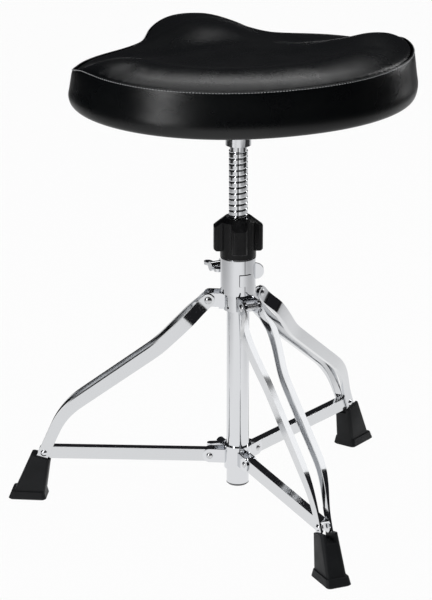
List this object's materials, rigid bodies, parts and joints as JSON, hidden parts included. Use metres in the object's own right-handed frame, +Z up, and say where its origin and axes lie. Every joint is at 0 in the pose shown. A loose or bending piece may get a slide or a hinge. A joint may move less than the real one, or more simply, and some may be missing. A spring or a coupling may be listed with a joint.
{
  "type": "drum throne",
  "caption": "Drum stool with a contoured black saddle seat on a threaded height-adjusting post, over a folding chrome tripod of double-strip legs with black rubber feet.",
  "frame": {"origin": "on the axis of the post at the floor", "axes": "+Z up along the post, -Y towards the front leg under the seat's rounded rear, the seat's nose within 3 degrees of +Y"},
  "size_m": [0.5604, 0.5221, 0.659],
  "materials": {
    "chrome": "bright chrome plate",
    "steel": "plain zinc-plated steel",
    "black_plastic": "satin black moulding",
    "nylon": "plain moulding",
    "rubber": "satin black rubber",
    "vinyl": "grained black vinyl",
    "plywood": "raw plywood",
    "foam": "open-cell foam"
  },
  "bodies": {
    "base": {"main_tube": "chrome", "tube_cap": "nylon", "upper_hub": "chrome", "upper_rivets": "steel", "clamp_sleeve": "chrome"},
    "seat_swivel": {"key_bush": "black_plastic", "thrust_washer": "steel"},
    "seat_post": {"threaded_post": "chrome", "post_stop": "nylon", "seat_bracket": "chrome", "bracket_bolt": "steel", "bracket_screws": "steel", "seat_board": "plywood", "seat_foam": "foam", "seat_top": "vinyl", "seat_band": "vinyl"},
    "adjusting_nut": {"nut_knob": "black_plastic", "nut_insert": "steel"},
    "clamp_jaw": {"clamp_jaw": "chrome", "clamp_nut": "steel"},
    "clamp_wing": {"clamp_wing": "chrome"},
    "sliding_hub": {"slider_hub": "chrome", "slider_rivets": "steel"},
    "hub_wing": {"slider_wing": "chrome"},
    "leg_front": {"leg_front_strip_a": "chrome", "leg_front_strip_b": "chrome", "leg_front_rivets": "steel", "foot_front": "rubber"},
    "brace_front": {"brace_front": "chrome"},
    "leg_right": {"leg_right_strip_a": "chrome", "leg_right_strip_b": "chrome", "leg_right_rivets": "steel", "foot_right": "rubber"},
    "brace_right": {"brace_right": "chrome"},
    "leg_left": {"leg_left_strip_a": "chrome", "leg_left_strip_b": "chrome", "leg_left_rivets": "steel", "foot_left": "rubber"},
    "brace_left": {"brace_left": "chrome"}
  },
  "joints": [
    {"name": "seat_swivel", "type": "hinge", "parent": "base", "child": "seat_swivel", "pos_m": [0, 0, 0.31189], "axis": [0, 0, 1], "continuous": true},
    {"name": "seat_height", "type": "slide", "parent": "seat_swivel", "child": "seat_post", "axis": [0, 0, 1], "range_m": [-0.099, 0.036]},
    {"name": "nut_turn", "type": "hinge", "parent": "seat_swivel", "child": "adjusting_nut", "pos_m": [0, 0, 0.35818], "axis": [0, 0, 1], "range_deg": [-1622, 4457]},
    {"name": "clamp_wing_turn", "type": "hinge", "parent": "base", "child": "clamp_wing", "pos_m": [0, 0.041, 0.33359], "axis": [-1, 0, 0], "range_deg": [0, 720]},
    {"name": "clamp_jaw_open", "type": "hinge", "parent": "base", "child": "clamp_jaw", "pos_m": [-0.00655, -0.02142, 0.33359], "axis": [0, 0, -1], "range_deg": [0, 2.1]},
    {"name": "leg_front_fold", "type": "hinge", "parent": "base", "child": "leg_front", "pos_m": [0, -0.039, 0.29758], "axis": [1, 0, 0], "range_deg": [0, 40]},
    {"name": "leg_right_fold", "type": "hinge", "parent": "base", "child": "leg_right", "pos_m": [0.03377, 0.0195, 0.29758], "axis": [-0.5, 0.866, 0], "range_deg": [0, 40.1]},
    {"name": "leg_left_fold", "type": "hinge", "parent": "base", "child": "leg_left", "pos_m": [-0.03377, 0.0195, 0.29758], "axis": [-0.5, -0.866, 0], "range_deg": [0, 40.1]},
    {"name": "hub_slide", "type": "slide", "parent": "base", "child": "sliding_hub", "axis": [0, 0, 1], "range_m": [0, 0.13051]},
    {"name": "hub_wing_turn", "type": "hinge", "parent": "sliding_hub", "child": "hub_wing", "pos_m": [0, 0.052, 0.07173], "axis": [0, 1, 0], "range_deg": [0, 720]},
    {"name": "brace_front_fold", "type": "hinge", "parent": "sliding_hub", "child": "brace_front", "pos_m": [0, -0.0377, 0.07173], "axis": [1, 0, 0], "range_deg": [0, 82.14]},
    {"name": "brace_right_fold", "type": "hinge", "parent": "sliding_hub", "child": "brace_right", "pos_m": [0.03265, 0.01885, 0.07173], "axis": [-0.5, 0.866, 0], "range_deg": [0, 82.14]},
    {"name": "brace_left_fold", "type": "hinge", "parent": "sliding_hub", "child": "brace_left", "pos_m": [-0.03265, 0.01885, 0.07173], "axis": [-0.5, -0.866, 0], "range_deg": [0, 82.14]}
  ],
  "couplings": [
    {"joint": "nut_turn", "follows": "seat_height", "rad_per_m": -785.4},
    {"joint": "clamp_jaw_open", "follows": "clamp_wing_turn", "ratio": 0.0027778},
    {"joint": "leg_right_fold", "follows": "leg_front_fold", "ratio": 1},
    {"joint": "leg_left_fold", "follows": "leg_front_fold", "ratio": 1},
    {"joint": "hub_slide", "follows": "leg_front_fold", "m_per_rad": 0.18665},
    {"joint": "brace_front_fold", "follows": "leg_front_fold", "ratio": 2.051},
    {"joint": "brace_right_fold", "follows": "leg_front_fold", "ratio": 2.051},
    {"joint": "brace_left_fold", "follows": "leg_front_fold", "ratio": 2.051}
  ]
}
